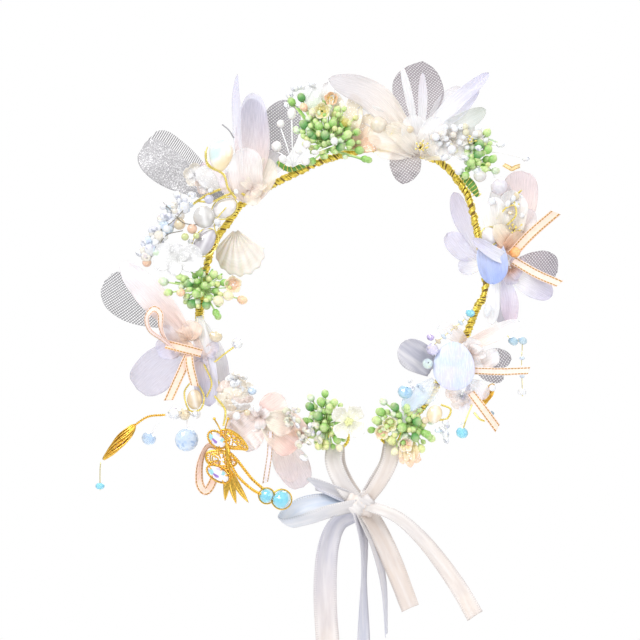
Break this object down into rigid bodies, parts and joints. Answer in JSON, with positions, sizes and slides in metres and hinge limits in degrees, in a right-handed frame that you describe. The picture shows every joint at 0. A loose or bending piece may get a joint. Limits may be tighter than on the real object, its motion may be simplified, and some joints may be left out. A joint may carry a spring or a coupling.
{
  "type": "flower crown",
  "caption": "Open ring of gold-bound wire with organza and mesh flowers, berry sprays, beads, shells, a butterfly charm and a satin ribbon tied through eyelets at the gap.",
  "frame": {"origin": "centre of the ring, which is also the centre of the head opening", "axes": "the ring lies in the XZ plane; -Y is the decorated front, +X is right as seen from the front, and +Z points from the ribbon gap to the top"},
  "size_m": [0.231, 0.0372, 0.3091],
  "materials": {
    "gold_wire": "bright wound metallic wire",
    "gold_charm": "stamped and plated, satin bright",
    "satin_ribbon": "satin weave, soft sheen",
    "organza": "sheer organza with a fine weave",
    "mesh_fabric": "open grey mesh",
    "rose_fabric": "soft pleated chiffon",
    "green_berries": "soft glossy moulded berries",
    "frosted_plastic": "frosted translucent",
    "pearl": "pearl lustre",
    "moonstone": "polished milky cat-eye",
    "shell": "mother-of-pearl",
    "peach_ribbon": "narrow ribbon with gold thread edges",
    "crystal": "faceted, clear to pale blue"
  },
  "bodies": {
    "ring": {"core_wire": "gold_wire", "gold_binding": "gold_wire", "left_eyelet": "gold_wire", "right_eyelet": "gold_wire", "glitter_petal": "mesh_fabric", "grey_mesh_petal": "mesh_fabric", "organza_petals_top_left": "organza", "striped_mesh_petal": "mesh_fabric", "ivory_petal": "organza", "lilac_petals_left": "organza", "frosted_cluster": "organza", "rose_petals": "rose_fabric", "mesh_petal_lower_left": "mesh_fabric", "tall_mesh_petal": "mesh_fabric", "cream_petal": "organza", "organza_petals_top": "organza", "hanging_mesh_petal": "mesh_fabric", "pink_petal": "organza", "blue_petal": "organza", "mauve_mesh_petal": "mesh_fabric", "lilac_petals_right": "organza", "inner_lilac_petals": "organza", "shell_disc": "shell", "grey_petal": "organza", "organza_petals_lower_right": "organza", "mesh_petal_lower_right": "mesh_fabric", "green_spray_left": "green_berries", "green_spray_left_end": "green_berries", "green_spray_right_end": "green_berries", "green_spray_top_left": "green_berries", "green_spray_top_right": "green_berries", "teardrop_pearl": "pearl", "moonstone_oval": "moonstone", "moonstone_round": "moonstone", "moonstone_drop": "moonstone", "shell_fan": "shell", "white_flower": "frosted_plastic", "cream_flower": "frosted_plastic", "pearl_spray": "pearl", "pink_bow": "peach_ribbon", "peach_trim_right": "peach_ribbon", "peach_trim_lower_right": "peach_ribbon"},
    "ribbon": {"ribbon_left_strand": "satin_ribbon", "ribbon_right_strand": "satin_ribbon", "ribbon_bow": "satin_ribbon", "ribbon_tail_1": "satin_ribbon", "ribbon_tail_2": "satin_ribbon", "ribbon_tail_3": "satin_ribbon", "ribbon_tail_4": "satin_ribbon", "ribbon_tail_5": "satin_ribbon"},
    "butterfly_charm": {"butterfly_wing_upper": "gold_charm", "butterfly_wing_lower": "gold_charm", "navette_upper": "crystal", "navette_lower": "crystal", "bead_wires": "crystal"},
    "left_wheat": {"wheat_ear_left": "gold_charm"},
    "aqua_thread": {"aqua_drop": "crystal"},
    "disc_thread": {"blue_disc_drop": "crystal"},
    "crystal_thread": {"crystal_strand": "crystal"},
    "right_wheat": {"wheat_ear_right": "gold_charm"}
  },
  "joints": [
    {"name": "ribbon_swing", "type": "hinge", "parent": "ring", "child": "ribbon", "pos_m": [0.00955, 0, -0.07695], "axis": [0.9974, 0, 0.0726], "range_deg": [-20, 50]},
    {"name": "charm_swing", "type": "hinge", "parent": "ring", "child": "butterfly_charm", "pos_m": [-0.061, -0.014, -0.066], "axis": [0, 1, 0], "range_deg": [-20, 20]},
    {"name": "left_wheat_swing", "type": "hinge", "parent": "ring", "child": "left_wheat", "pos_m": [-0.088, -0.011, -0.0605], "axis": [0, 1, 0], "range_deg": [-25, 25]},
    {"name": "aqua_swing", "type": "hinge", "parent": "left_wheat", "child": "aqua_thread", "pos_m": [-0.1206, -0.012, -0.0843], "axis": [0, 1, 0], "range_deg": [-45, 45]},
    {"name": "disc_swing", "type": "hinge", "parent": "ring", "child": "disc_thread", "pos_m": [-0.0785, -0.007, -0.06], "axis": [0, 1, 0], "range_deg": [-45, 45]},
    {"name": "crystal_swing", "type": "hinge", "parent": "ring", "child": "crystal_thread", "pos_m": [0.0883, -0.003, -0.0298], "axis": [0, 1, 0], "range_deg": [-45, 45]},
    {"name": "right_wheat_swing", "type": "hinge", "parent": "ring", "child": "right_wheat", "pos_m": [0.0755, 0.0104, -0.0465], "axis": [0, 1, 0], "range_deg": [-20, 20]}
  ]
}
